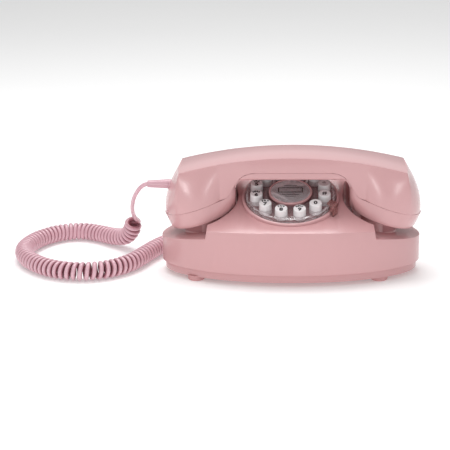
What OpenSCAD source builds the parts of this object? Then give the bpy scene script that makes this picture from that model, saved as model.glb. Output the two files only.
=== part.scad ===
// Compact bedroom telephone: an oval base with a sloping round key dial,
// and a handset that lies lengthwise in two pockets over it.
// Millimetres. +X right, +Y back, +Z up. The origin is on the table under the middle of the base.

/* [Base] */
// Length of the oval base, end to end
base_len = 216; // [208:0.5:224]
// Depth of the oval base, front to back
base_dep = 111; // [108:0.5:116]
// How far the base plate steps in under the housing
plate_step = 2.5; // [2:0.1:4]
// Height of the base plate's visible edge
plate_edge = 6.7; // [5.5:0.1:8]
// Thickness of the base plate's floor
plate_floor = 2.4; // [2:0.1:3]
// Diameter of a rubber foot
foot_dia = 14; // [10:0.5:16]
// Height of a rubber foot under the base plate
foot_h = 3.8; // [2.5:0.1:5]
// Distance of the feet from the ends of the base
foot_end_in = 32.5; // [30:0.5:42]
// How far the feet's middle lies to the left
foot_shift = 2.4; // [0:0.1:3]
// Distance of the feet from the front and the back of the base
foot_side_in = 25.5; // [22.5:0.5:31.5]
// Wall of the moulded housing
wall = 2.4; // [2:0.1:3]
// Height of the ledge at the middle of the base
ledge_mid_z = 42; // [40:0.5:43.5]
// Radius of the ledge's crown along the base
ledge_crown_r = 555; // [450:5:800]

/* [Console] */
// Half width of the console at its front corners
console_half = 68; // [64:0.5:72]
// Height of the console's front edge at the middle
console_front_z = 46.6; // [45.6:0.1:47.2]
// Slope of the dial face
dial_slope = 21.2; // [20:0.1:22]
// Radius of the console's crown, side to side
console_crown_r = 372; // [330:2:420]
// Distance of the rounded crest behind the middle of the base
crest_y = 31.2; // [30:0.2:33]
// Rounding of the crest
crest_r = 4.5; // [3:0.5:5]
// Slope of the console's back
back_slope = 66; // [60:1:72]

/* [Cradle] */
// Distance of the cradle pockets from the middle
pocket_x = 76; // [75:0.5:78]
// Shift of the cradle pockets to the front
pocket_y = 2.5; // [1.5:0.5:4]
// Radius of a cradle pocket
pocket_r = 32.7; // [31.5:0.1:33.5]
// Radius of the raised pad that a cup lies over
pad_r = 15; // [14:0.5:20]
// Gap between a pad and the cup over it
pad_gap = 0.4; // [0.3:0.1:1]

/* [Dial] */
// Distance of the dial's centre from the front edge, up the slope
dial_along = 49; // [47:0.5:50]
// Outer radius of the pink dial bezel
bezel_r = 40.2; // [39:0.1:41]
// Width of the bezel's rim
bezel_rim = 2.4; // [1.4:0.1:3]
// Height of the bezel's rim over the dial face
bezel_rise = 1.9; // [1:0.1:2.5]
// Gap round the clear wheel inside the bezel
wheel_gap = 0.4; // [0.3:0.1:1]
// Thickness of the clear wheel at its rim
wheel_t = 3.6; // [2:0.1:4]
// Radius of the circle of keys
key_circle_r = 29; // [28.8:0.1:30]
// Number of keys
key_count = 12; // [12:1:12]
// Height of the key tops over the dial face
key_rise = 9.7; // [8.5:0.1:10]
// Diameter of a key's top
key_top_dia = 10.2; // [8.6:0.1:10.6]
// Diameter of a key at its root
key_root_dia = 10.8; // [10:0.1:11]
// Travel of a key
key_travel = 1.8; // [1:0.1:2]
// Outer radius of the card ring
card_ring_r = 18; // [17.6:0.1:19.2]
// Height of the card ring over the dial face
card_ring_rise = 6.8; // [6.4:0.1:9]
// Angle of the finger stop, clockwise below the right
stop_angle = 31; // [29:0.5:32]

/* [Handset] */
// Half length of the handset's flat top
hand_half = 93.1; // [91:0.1:94]
// Half width of the flat top at the middle
hand_half_w = 21.5; // [20.5:0.1:22.5]
// Half width of the flat top at its ends
hand_end_w = 23.6; // [22.5:0.1:24.5]
// Height of the top over the cups' seam
hand_top = 41.5; // [40:0.1:43]
// Radius of the handset's arch
hand_arch_r = 365; // [330:5:420]
// Half width of the handle at its seam
hand_seam_w = 22.6; // [22:0.1:23.4]
// Height of the handle's seam over the cups' seam
hand_seam = 29.4; // [28.5:0.1:30.4]
// Height of the handle's underside over the cups' seam
hand_under = 23.2; // [23.2:0.1:24.6]
// Distance of a cup's centre from the handset's middle
cup_x = 78.3; // [77:0.1:78.6]
// Radius of a cup at its seam
cup_r = 30; // [28.6:0.1:30.2]
// Tilt of the cups towards each other
cup_tilt = 18.5; // [17:0.5:20]
// Depth of a cup's cap under its seam
cap_depth = 14.6; // [13.5:0.1:15]
// Wall of the handset's shells
hand_wall = 2.2; // [1.8:0.1:2.6]
// Height of the cups' seam over the table
hand_z = 61; // [60.8:0.1:61.8]
// Shift of the handset to the front
hand_front = 2.5; // [1.5:0.1:3]
// Play of the handset along its cradle, to the right
hand_shift = 1.8; // [0:0.1:1.9]
// Lean of the handset to the front
hand_lean = 3; // [2:0.5:4]

/* [Cord] */
// Diameter of the handset cord's wire
cord_dia = 3.4; // [3.2:0.1:4.2]
// Outer diameter of the cord's coil
coil_dia = 16; // [14:0.5:17]
// Diameter of the strain relief at the handset
relief_dia = 7.8; // [7:0.1:9]
// Diameter of the strain relief at its tip
relief_tip = 5.8; // [5:0.1:6.6]
// Length of the strain relief outside the handset
relief_len = 18.4; // [14:0.2:26]

/* [Fits] */
// Gap between parts that only lie near each other
gap = 0.3; // [0.2:0.05:0.5]
// Running clearance of a shaft or stem in its hole, on the radius
run = 0.08; // [0.05:0.01:0.1]
// Travel of the hook plungers
hook_travel = 4; // [3:0.5:5]

/* [Hidden] */

$fn = 64;
eps = 0.01;
big = 400;
pink = "#dca9aa";
deep_pink = "#d4a1a2";
clear = [0.93, 0.93, 0.94, 0.4];

base_a = base_len / 2;
base_b = base_dep / 2;
seam_z = foot_h + plate_edge;
front_y = -(base_b - 1);
// Distance of the crest up the slope, and the height of its top.
crest_along = (crest_y - front_y - crest_r * sin(dial_slope)) / cos(dial_slope);
crest_z = console_front_z + crest_along * sin(dial_slope) + crest_r * (1 - cos(dial_slope));
side_lean = 3;
// Distance from the handset's middle at which its seam meets a cup's ring, and the neck between them.
seam_join = 55.5;
neck_x = seam_join - 2.2;
neck_y = 15.2;
neck_r = 6.4;
neck_h = 17;
play = 1.9;

// -- shared forms --------------------------------------------------------------------------

module oval(a, b) { scale([1, b / a]) circle(r = a, $fn = 180); }

module oval_block(inset, z0, z1) {
    translate([0, 0, z0]) linear_extrude(z1 - z0) oval(base_a - inset, base_b - inset);
}

// The frame of the dial: x right, y up the slope, z out of the face.
module on_dial() {
    translate([0, front_y, console_front_z]) rotate([dial_slope, 0, 0])
        translate([0, dial_along, 0]) children();
}

// The frame of the handset: the origin lies between the cups, in the height of their seams.
module in_hand() {
    translate([hand_shift, -hand_front, hand_z]) rotate([hand_lean, 0, 0]) children();
}

// The frame of one cup (side is -1 left, 1 right): z points up its axis, 0 is the seam.
module in_cup(side) { translate([side * cup_x, 0, 0]) rotate([0, side * cup_tilt, 0]) children(); }

module at_corners(x, y) {
    for (sx = [-1, 1]) for (sy = [-1, 1]) translate([sx * x, sy * y, 0]) children();
}

module ring(r_out, r_in, z0, z1) {
    translate([0, 0, z0]) difference() {
        cylinder(r = r_out, h = z1 - z0, $fn = 96);
        translate([0, 0, -1]) cylinder(r = r_in, h = z1 - z0 + 2, $fn = 96);
    }
}

// -- base plate and feet -------------------------------------------------------------------

foot_seat = 0.8;
lip_h = 2.4;
lip_t = 1.8;
foot_x = base_a - foot_end_in;
foot_y = base_b - foot_side_in;
screw_x = foot_x - 13.5;
screw_y = foot_y;
screw_r = 1.45;
boss_r = 4.2;
head_r = 2.9;
head_h = 2;
board_top = seam_z + 4.6;
board_t = 1.6;
board_w = 104;
board_y0 = -14;
board_y1 = base_b - 13.5;
tongue_d = 8;
post_r = 3.6;
post_inset = 5;
board_screw_r = 1.15;
board_posts = [for (x = [-1, 1]) for (y = [board_y0 + post_inset, board_y1 - 19])
    [x * (board_w / 2 - post_inset), y]];
guide_y = -2;
guide_r = 2.6;
tube_r = 4.4;
tube_top = board_top + 6;
plate_top = foot_h + plate_floor;
ringer_x = base_a - 32;
ringer_y = 0;
ringer_r = 17;
ringer_h = 9;
fence_t = 1.6;
fence_h = 3;
screw_post_r = 5.4;
slot_pitch = 4;
slot_w = 2;

module base_plate() {
    color(deep_pink) difference() {
        union() {
            difference() {
                oval_block(plate_step, foot_h, seam_z);
                oval_block(plate_step + wall, plate_top, seam_z + 1);
            }
            // lip that locates the housing
            difference() {
                oval_block(wall + gap, plate_top, seam_z + lip_h);
                oval_block(wall + gap + lip_t, plate_top - 1, seam_z + lip_h + 1);
            }
            at_corners(screw_x, screw_y) translate([0, 0, foot_h])
                cylinder(r = screw_post_r, h = plate_edge);
            for (p = board_posts) translate([p[0], p[1], foot_h])
                cylinder(r = post_r, h = board_top - board_t - foot_h);
            translate([0, guide_y, foot_h]) cylinder(r = tube_r, h = tube_top - foot_h);
            translate([ringer_x, ringer_y, 0])
                ring(ringer_r + gap + fence_t, ringer_r + gap, foot_h, plate_top + fence_h);
        }
        at_corners(screw_x, screw_y) {
            translate([0, 0, foot_h - 1]) cylinder(r = head_r + gap, h = head_h + 1.6);
            cylinder(r = screw_r + 0.35, h = seam_z + 1);
        }
        feet_spots() translate([0, 0, foot_h - 1]) cylinder(r = foot_dia / 2 + 0.1, h = 1 + foot_seat);
        for (p = board_posts) translate([p[0], p[1], plate_top])
            cylinder(r = board_screw_r + 0.05, h = 20);
        translate([0, guide_y, plate_top]) cylinder(r = guide_r + run, h = 30);
        // sound slots under the ringer
        for (i = [-3 : 3]) let (x = i * slot_pitch)
            translate([ringer_x + x - slot_w / 2, ringer_y - slot_half(x), foot_h - 1])
            cube([slot_w, 2 * slot_half(x), plate_floor + 2]);
    }
}

// Half length of a sound slot at the distance x from the ringer's middle.
function slot_half(x) = sqrt(pow(ringer_r - 3, 2) - x * x);

module feet_spots() { translate([-foot_shift, 0, 0]) at_corners(foot_x, foot_y) children(); }

module rubber_feet() {
    top = foot_h + foot_seat;
    color("#c99798") feet_spots() rotate_extrude()
        polygon([[0, 0], [foot_dia / 2 - 1.2, 0], [foot_dia / 2 - 0.4, 0.4], [foot_dia / 2, 1.2],
            [foot_dia / 2, top], [0, top]]);
}

module screw(r, len, hr, hh) {
    difference() {
        union() {
            cylinder(r = hr, h = hh);
            cylinder(r = r, h = len);
        }
        translate([-hr * 0.7, -0.3, -1]) cube([hr * 1.4, 0.6, 1.7]);
        translate([-0.3, -hr * 0.7, -1]) cube([0.6, hr * 1.4, 1.7]);
    }
}

module housing_screws() {
    color("silver") at_corners(screw_x, screw_y) translate([0, 0, foot_h + 0.6])
        screw(screw_r, 17, head_r, head_h);
}

// -- housing -------------------------------------------------------------------------------

// Height of the cup's face plane over the table, at a point given from the middle of the phone.
function face_z(side, x) = hand_z - cap_depth / cos(cup_tilt)
    + (side * hand_shift + cup_x - x) * tan(cup_tilt);

module ledge_crown(inset) {
    translate([0, 0, ledge_mid_z - ledge_crown_r]) rotate([90, 0, 0])
        cylinder(r = ledge_crown_r - inset, h = big, center = true, $fn = 400);
}

module console_form(inset) {
    difference() {
        intersection() {
            oval_block(inset, seam_z - 1, crest_z + 20);
            // sides that lean in towards the top
            rotate([90, 0, 0]) linear_extrude(big, center = true)
                polygon([[-console_half - side_lean + inset, ledge_mid_z - 14],
                    [console_half + side_lean - inset, ledge_mid_z - 14],
                    [console_half - inset, console_front_z],
                    [console_half - side_lean - inset, crest_z + 9],
                    [-console_half + side_lean + inset, crest_z + 9],
                    [-console_half + inset, console_front_z]]);
            translate([0, front_y, console_front_z]) rotate([dial_slope, 0, 0])
                translate([0, 0, -console_crown_r]) rotate([-90, 0, 0])
                rotate_extrude($fn = 400) crest_profile(inset);
        }
        for (side = [-1, 1]) translate([0, 0, seam_z - 2]) linear_extrude(big) {
            translate([side * pocket_x, -pocket_y]) circle(r = pocket_r + inset, $fn = 128);
            // room at the back for the handset's inner corner, with its play
            for (y = [0, 5]) translate([side * neck_x, neck_y - hand_front - y])
                circle(r = neck_r + play + gap + inset, $fn = 64);
        }
    }
}

// Half section of the crowned top, turned about the crown's axis: the slope runs up to the rounded
// crest, and the back falls away behind it.
module crest_profile(inset) {
    turn = dial_slope + back_slope;
    r = crest_r;
    mid = [console_crown_r - r, crest_along];
    arc = [for (i = [0 : 6]) mid + (r - inset) * [cos(turn * i / 6), sin(turn * i / 6)]];
    foot = arc[6] + 90 * [-sin(turn), cos(turn)];
    polygon(concat([[0, -60], [console_crown_r - inset, -60]], arc, [foot, [0, foot[1]]]));
}

// Raised pad under a cup, its top in line with the cup's face.
module pad_form(side, inset) {
    intersection() {
        translate([side * (cup_x - cap_depth * sin(cup_tilt)), -hand_front - 1, seam_z])
            cylinder(r = pad_r - inset, h = 60, $fn = 96);
        rotate([90, 0, 0]) linear_extrude(big, center = true)
            polygon([[side * 40, 0], [side * 110, 0],
                [side * 110, pad_top(110) - inset], [side * 40, pad_top(40) - inset]]);
    }
}

function pad_top(x) = min(face_z(-1, x), face_z(1, x)) - pad_gap - pad_r * sin(hand_lean);

module housing_form(inset) {
    intersection() {
        oval_block(inset, seam_z - (inset > 0 ? 1 : 0), ledge_mid_z + 1);
        ledge_crown(inset);
    }
    intersection() {
        console_form(inset);
        translate([-big / 2, -big / 2, seam_z - (inset > 0 ? 1 : 0)]) cube(big);
    }
    for (side = [-1, 1]) pad_form(side, inset);
}

plunger_x = 48.5;
plunger_y = guide_y;
plunger_r = 2.9;
jack_w = 13;
jack_h = 12.4;
jack_d = 17;
mouth_d = 12;
mouth_h = 6.6;
mouth_z = 3.2;
handset_mouth_w = 7.9;
line_mouth_w = 9.9;
plug_w = 7.6;
plug_h = 6.2;
jack_face = base_b - 7.3;
plug_end = jack_face + 2.4;
handset_jack_x = -45;
line_jack_x = 45;
switch_w = 13;
switch_d = 7.5;
switch_h = 10;
switch_y = base_b - 12.5;
switch_pocket = 5.5;
knob_w = 4.4;
knob_d = 6.6;
knob_h = 3.2;
knob_window = 10;
ringer_switch_x = 22;
tone_switch_x = -22;

module housing() {
    // the guide round a plunger starts above the raised yoke
    boss_z = yoke_z + yoke_t + hook_travel + 0.8;
    color(pink) difference() {
        union() {
            difference() {
                housing_form(0);
                housing_form(wall);
            }
            intersection() {
                housing_form(wall / 2);
                union() {
                    at_corners(screw_x, screw_y) translate([0, 0, seam_z]) cylinder(r = boss_r, h = 60);
                    for (side = [-1, 1]) translate([side * plunger_x, plunger_y, boss_z])
                        cylinder(r = plunger_r + 2.2, h = 20);
                }
            }
        }
        at_corners(screw_x, screw_y) cylinder(r = screw_r + 0.05, h = 26);
        for (side = [-1, 1]) translate([side * plunger_x, plunger_y, seam_z])
            cylinder(r = plunger_r + run, h = 60);
        on_dial() translate([0, 0, -20]) cylinder(r = bezel_r + 0.15, h = 40, $fn = 128);
        on_dial() stop_strip(0.2);
        for (x = [handset_jack_x, line_jack_x])
            translate([x - jack_w / 2 - gap, jack_face - 8, board_top - gap])
            cube([jack_w + 2 * gap, 30, jack_h + 2 * gap]);
        for (x = [ringer_switch_x, tone_switch_x])
            translate([x - knob_window / 2, base_b - 8, switch_z() - knob_h / 2])
            cube([knob_window, 20, knob_h]);
    }
}

function switch_z() = board_top + switch_h / 2;

// -- dial ----------------------------------------------------------------------------------

face_t = 1.8;
face_top = 0.3;
face_bottom = face_top - face_t;
key_foot = 2.7;
mat_top = face_bottom - key_foot - key_travel - gap;
board_h0 = -10.5;
board_h1 = -8.9;
bezel_in = bezel_r - bezel_rim;
wheel_r = bezel_in - wheel_gap;
wheel_z = face_top + 0.2;
hub_r = 17.4;
card_foot_r = 14.6;
dial_boss_r = 20.5;
boss_half = 2.6;
shelf_w = 1.9;
shelf_t = 1.8;
tab_reach = 3.6;
tab_t = 2;
tab_top = -5.6;
tab_w = 12;

module dial_bezel() {
    half_rim = bezel_rim / 2;
    color(pink) on_dial() {
        rotate_extrude($fn = 128) polygon(concat([[bezel_in, board_h0], [bezel_r, board_h0]],
            [for (a = [0 : 30 : 180]) [bezel_in + half_rim, bezel_rise - half_rim]
                + half_rim * [cos(a), sin(a)]]));
        // shelf that carries the face plate
        ring(bezel_in + 0.2, bezel_in - shelf_w, face_bottom - shelf_t, face_bottom);
        // tabs that hold the bezel under the housing
        intersection() {
            ring(bezel_r + tab_reach, bezel_r - 0.2, tab_top - tab_t, tab_top);
            for (a = [50, 130, 230, 310]) rotate([0, 0, a])
                translate([key_circle_r, -tab_w / 2, board_h0]) cube([key_circle_r, tab_w, 10]);
        }
    }
}

module key_spots() {
    for (k = [0 : key_count - 1]) rotate([0, 0, -75 + 30 * k]) translate([key_circle_r, 0, 0]) children();
}

module boss_spots() {
    for (k = [0 : 2]) rotate([0, 0, 90 + 120 * k]) translate([dial_boss_r, 0, 0]) children();
}

module dial_plate() {
    color("#8d6a68") on_dial() difference() {
        union() {
            translate([0, 0, face_bottom]) cylinder(r = bezel_in - 0.1, h = face_t, $fn = 128);
            boss_spots() translate([0, 0, board_h1])
                cylinder(r = boss_half, h = face_bottom - board_h1 + eps);
        }
        key_spots() translate([0, 0, face_bottom - 1]) cylinder(r = key_root_dia / 2 + run, h = face_t + 2);
        boss_spots() translate([0, 0, board_h1 - 1]) cylinder(r = 1.05, h = 6.5);
    }
}

module finger_wheel() {
    color(clear) on_dial() difference() {
        rotate_extrude($fn = 128) polygon([[hub_r, wheel_z], [wheel_r - 0.4, wheel_z],
            [wheel_r, wheel_z + 0.5], [wheel_r, wheel_z + wheel_t - 0.5], [wheel_r - 0.8, wheel_z + wheel_t],
            [key_circle_r + 4, wheel_z + wheel_t + 0.5], [key_circle_r - 3, wheel_z + wheel_t + 1],
            [card_ring_r + 1.2, wheel_z + wheel_t + 0.8], [hub_r, wheel_z + 1.8]]);
        key_spots() cylinder(r = key_root_dia / 2 + 0.6, h = 12);
    }
}

module card_holder() {
    color(pink) on_dial() rotate_extrude($fn = 96)
        polygon([[card_foot_r - 2, face_top], [card_foot_r, face_top], [card_ring_r, card_ring_rise - 1.8],
            [card_ring_r, card_ring_rise - 0.6], [card_ring_r - 0.6, card_ring_rise],
            [card_ring_r - 1.3, card_ring_rise], [card_ring_r - 1.6, card_ring_rise - 0.4],
            [card_ring_r - 1.6, card_ring_rise - 1.2], [0, card_ring_rise - 1.2],
            [0, card_ring_rise - 2.6], [card_ring_r - 2.6, card_ring_rise - 2.6]]);
}

module number_card() {
    color("#c9bcbe") on_dial() translate([0, 0, card_ring_rise - 1.2])
        cylinder(r = card_ring_r - 1.7, h = 0.3, $fn = 96);
}

module card_window() {
    color(clear) on_dial() translate([0, 0, card_ring_rise - 0.9])
        cylinder(r = card_ring_r - 1.65, h = 0.6, $fn = 96);
}

stop_r = bezel_r + 1.6;
stop_w = 7;
stop_t = 1.2;

// Bent metal strip; grow widens it for the slot in the housing.
module stop_strip(grow) {
    r0 = stop_r;
    rotate([0, 0, -stop_angle]) rotate([90, 0, 0]) linear_extrude(stop_w + 2 * grow, center = true)
        polygon([[r0 - grow, -9], [r0 + stop_t + grow, -9], [r0 + stop_t + grow, 7.6], [r0 + 0.5, 8.7],
            [r0 - 5.6, 9.3], [r0 - 5.8, 8.1], [r0 - 0.5, 7.6], [r0 - grow, 7.1]]);
}

module finger_stop() {
    color("silver") on_dial() {
        stop_strip(0);
        rotate([0, 0, -stop_angle]) {
            // barbs that hold it under the housing
            translate([stop_r, -stop_w / 2 - 1.5, -9]) cube([stop_t, stop_w + 3, 3]);
            // folded edge over the bezel
            translate([0, stop_t - stop_w / 2, 0]) rotate([90, 0, 0]) linear_extrude(stop_t)
                polygon([[stop_r - 3.2, bezel_rise + 0.6], [stop_r + 0.2, bezel_rise + 0.6],
                    [stop_r + 0.2, 7.8], [stop_r - 3.2, 8.4]]);
        }
    }
}

module key_mat() {
    color("#5b5b60") on_dial() difference() {
        union() {
            translate([0, 0, board_h1]) cylinder(r = bezel_in - 2, h = 1.2);
            key_spots() translate([0, 0, board_h1 + 0.6])
                cylinder(r1 = 4.4, r2 = 3, h = mat_top - board_h1 - 0.6);
        }
        boss_spots() translate([0, 0, board_h1 - 1]) cylinder(r = boss_half + gap, h = 4);
    }
}

module key_board() {
    color("#3f7a4f") on_dial() difference() {
        translate([0, 0, board_h0]) cylinder(r = bezel_in - 0.2, h = board_h1 - board_h0);
        boss_spots() translate([0, 0, board_h0 - 1]) cylinder(r = 1.25, h = 4);
    }
}

module key_board_screws() {
    color("silver") on_dial() boss_spots() translate([0, 0, board_h0 - 1.6]) screw(1, 7, 2.1, 1.6);
}

// One key; spot counts anticlockwise from the lower right.
module key(spot) {
    r = key_root_dia / 2;
    t = key_top_dia / 2;
    color("white") on_dial() rotate([0, 0, -75 + 30 * spot]) translate([key_circle_r, 0, 0])
        rotate_extrude() polygon([[0, face_bottom - key_foot], [r + 0.8, face_bottom - key_foot],
            [r + 0.8, face_bottom - gap], [r, face_bottom - gap], [r, face_top + 0.4], [t, key_rise - 0.7],
            [t - 0.2, key_rise - 0.25], [t - 0.7, key_rise], [0, key_rise - 0.15]]);
}

module key_9() { key(0); }
module key_0() { key(1); }
module key_hash() { key(2); }
module key_star() { key(3); }
module key_1() { key(4); }
module key_2() { key(5); }
module key_3() { key(6); }
module key_4() { key(7); }
module key_5() { key(8); }
module key_6() { key(9); }
module key_7() { key(10); }
module key_8() { key(11); }

// -- works inside the base -----------------------------------------------------------------

module main_board() {
    color("#3f7a4f") difference() {
        union() {
            translate([-board_w / 2, board_y0, board_top - board_t])
                cube([board_w, board_y1 - board_y0, board_t]);
            // tongue under the two slide switches
            translate([-ringer_switch_x - switch_w / 2 - 1, board_y1 - 1, board_top - board_t])
                cube([2 * ringer_switch_x + switch_w + 2, tongue_d + 1, board_t]);
        }
        for (p = board_posts) translate([p[0], p[1], 0]) cylinder(r = board_screw_r + 0.2, h = 40);
        translate([0, guide_y, 0]) cylinder(r = tube_r + 0.3, h = 40);
    }
}

module main_board_screws() {
    color("silver") for (p = board_posts) translate([p[0], p[1], board_top + 1.6])
        rotate([180, 0, 0]) screw(board_screw_r, 8.5, 2.3, 1.6);
}

hook_switch_x = 18;
hook_switch_w = 20;
hook_switch_d = 6.6;
hook_switch_top = board_top + 10;
button_h = 1.3;
yoke_z = hook_switch_top + button_h + gap;
yoke_t = 3;
yoke_half = 3;

module hook_switch() {
    color("#2c2c30") {
        translate([hook_switch_x - hook_switch_w / 2, guide_y - hook_switch_d / 2, board_top])
            cube([hook_switch_w, hook_switch_d, hook_switch_top - board_top]);
        translate([hook_switch_x - 4, guide_y, hook_switch_top]) cylinder(r = 1.2, h = button_h);
    }
}

module hook_yoke() {
    color("#e8e4dc") {
        translate([-plunger_x - yoke_half, guide_y - yoke_half, yoke_z])
            cube([2 * (plunger_x + yoke_half), 2 * yoke_half, yoke_t]);
        translate([0, guide_y, plate_top + 2]) cylinder(r = guide_r, h = yoke_z - plate_top - 1);
    }
}

module hook_plungers() {
    color(clear) for (side = [-1, 1]) {
        top = face_z(side, plunger_x + plunger_r) - gap - 0.4;
        translate([side * plunger_x, plunger_y, yoke_z + yoke_t]) rotate_extrude()
            polygon([[0, 0], [plunger_r, 0], [plunger_r, top - yoke_z - yoke_t - 0.9],
                [plunger_r - 0.3, top - yoke_z - yoke_t - 0.3],
                [plunger_r - 0.9, top - yoke_z - yoke_t], [0, top - yoke_z - yoke_t]]);
    }
}

spring_r = 5.7;
spring_wire = 0.5;
spring_turns = 4;

function helix(r, turns, z0, z1, n) = [for (i = [0 : turns * n])
    [r * cos(360 * i / n), r * sin(360 * i / n), z0 + (z1 - z0) * i / (turns * n)]];

module hook_spring() {
    turns = helix(spring_r, spring_turns, board_top + spring_wire, yoke_z - spring_wire, 12);
    color("silver") translate([0, guide_y, 0]) tube(turns, spring_wire, 6);
}

// Modular socket with its mouth to the back.
module jack(x, mouth_w) {
    color("#d8d2c6") translate([x, 0, board_top]) difference() {
        translate([-jack_w / 2, jack_face - jack_d, 0]) cube([jack_w, jack_d, jack_h]);
        translate([-mouth_w / 2, jack_face - mouth_d, mouth_z]) cube([mouth_w, mouth_d + 1, mouth_h]);
        // room for the plug's latch
        translate([-mouth_w / 4, jack_face - mouth_d + 2, 1.4]) cube([mouth_w / 2, mouth_d, 3]);
    }
}

module handset_jack() { jack(handset_jack_x, handset_mouth_w); }
module line_jack() { jack(line_jack_x, line_mouth_w); }

module ringer() {
    color("#3a3a3e") translate([ringer_x, ringer_y, plate_top]) difference() {
        cylinder(r = ringer_r, h = ringer_h);
        translate([0, 0, -1]) cylinder(r = ringer_r - 2.5, h = 2.4);
    }
}

disc_weight_r = 15;
disc_weight_h = 9;
bar_weight = [40, 16, 7];

module ballast_weights() {
    color("#8a8d92") {
        translate([-ringer_x, 0, plate_top]) cylinder(r = disc_weight_r, h = disc_weight_h);
        translate([-bar_weight[0] / 2, 11.5 - base_b, plate_top]) cube(bar_weight);
    }
}

module switch_body(x) {
    color("#2c2c30") translate([x - switch_w / 2, switch_y, board_top]) difference() {
        cube([switch_w, switch_d, switch_h]);
        translate([1.5, switch_pocket, (switch_h - knob_h) / 2]) cube([switch_w - 3, switch_d, knob_h]);
    }
}

module switch_knob(x) {
    color("#efe9e2") translate([x - 4.2, switch_y + switch_pocket + gap, switch_z() - knob_h / 2 + gap])
        cube([knob_w, knob_d, knob_h - 2 * gap]);
}

module ringer_switch() { switch_body(ringer_switch_x); }
module tone_switch() { switch_body(tone_switch_x); }
module ringer_switch_knob() { switch_knob(ringer_switch_x); }
module tone_switch_knob() { switch_knob(tone_switch_x); }

// -- handset -------------------------------------------------------------------------------

seam_flat = 30;
corner_turn = 128;
end_bow = 1.2;
top_chamfer = 0.8;
rows = 6;

function bez(a, b, c, d, t) = a * pow(1 - t, 3) + 3 * b * t * pow(1 - t, 2) + 3 * c * t * t * (1 - t)
    + d * pow(t, 3);
function ring_z(x) = (cup_x - x) * tan(cup_tilt);
function seam_curve() = [for (i = [0 : 8]) bez([seam_flat, hand_seam], [seam_join - 6.5, hand_seam],
    [seam_join - 8, ring_z(seam_join) + 3.5], [seam_join, ring_z(seam_join)], i / 8)];
function seam_line(far) = concat([[0, hand_seam]], seam_curve(), [[far, ring_z(far)]]);
function seam_z_at(x) = lookup(x, [for (p = seam_line(130)) [p[0], p[1]]]);

function top_z(x) = hand_top - hand_arch_r + sqrt(hand_arch_r * hand_arch_r - x * x);
function top_w(x) = hand_half_w + (hand_end_w - hand_half_w) * pow(x / hand_half, 2);
function ease(t) = t <= 0 ? 0 : t >= 1 ? 1 : t * t * (3 - 2 * t);
function turn_x(turn) = cup_x - cup_r * cos(turn) * cos(cup_tilt);

// Stations from the middle of the handle to the end of the cup: [x, turn round the cup].
turn_join = acos((cup_x - seam_join - 4.896) / (cup_r * cos(cup_tilt)));
straight = concat([0, 10, 20, 30], [for (d = [19.5, 14.5, 10.5, 6.5, 2.5]) seam_join - d]);
function stations() = concat([for (x = straight) [x, -1]],
    [for (i = [0 : 14]) let (turn = turn_join + (180 - turn_join) * i / 14) [turn_x(turn), turn]]);

neck_in = 0.9;
function side_w(x) = hand_seam_w - neck_in * ease((x - seam_join + 19.5) / 10)
    + (cup_r * sin(turn_join) - hand_seam_w + neck_in)
        * ease((x - seam_join + 8.5) / (turn_x(turn_join) - seam_join + 8.5));

// A point of the shell's side: s is the station, v runs from 0 at the top edge to 1 under the seam.
function top_point(s, inset) =
    s[1] > corner_turn
        ? let (y = (hand_end_w - inset) * (180 - s[1]) / (180 - corner_turn))
          [hand_half - inset + end_bow * (1 - pow(y / hand_end_w, 2)), -y, top_z(hand_half) - inset]
        : let (x = min(s[0], hand_half) * (hand_half - inset) / hand_half)
          [x, -top_w(x) + inset, top_z(x) - inset];
function low_point(s, inset, drop) = s[1] < 0
    ? [s[0], -side_w(s[0]) + inset, seam_z_at(s[0]) - drop]
    : let (r = cup_r - inset, t = cup_tilt)
      [cup_x - r * cos(s[1]) * cos(t) - drop * sin(t), -r * sin(s[1]),
        r * cos(s[1]) * sin(t) - drop * cos(t)];
function bulge(s) = s[1] < 0 ? 0.8 : 0.8 + 3.6 * ease((s[1] - 50) / 120);
function out_dir(s) = s[1] < 0 ? [0, -1, 0]
    : let (d = ease((s[1] - 50) / 60)) [-cos(s[1]) * d, -sin(s[1]) * d - (1 - d), 0];
function side_point(s, v, inset, drop) = let (a = top_point(s, inset), b = low_point(s, inset, drop))
    a + (b - a) * v + out_dir(s) * bulge(s) * 4 * v * (1 - v);
function shell_column(s, inset, drop) = concat(
    [let (p = top_point(s, inset), q = side_point(s, 0.2, inset, drop), c = s[1] > corner_turn ? 1 : 0)
        [p[0] - c * top_chamfer, p[1] * (1 - (c > 0 ? 0 : top_chamfer / hand_half_w)), p[2]]],
    [for (j = [0 : rows]) let (p = side_point(s, j / rows, inset, drop))
        j == 0 ? [p[0], p[1], p[2] - top_chamfer] : p]);

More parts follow.
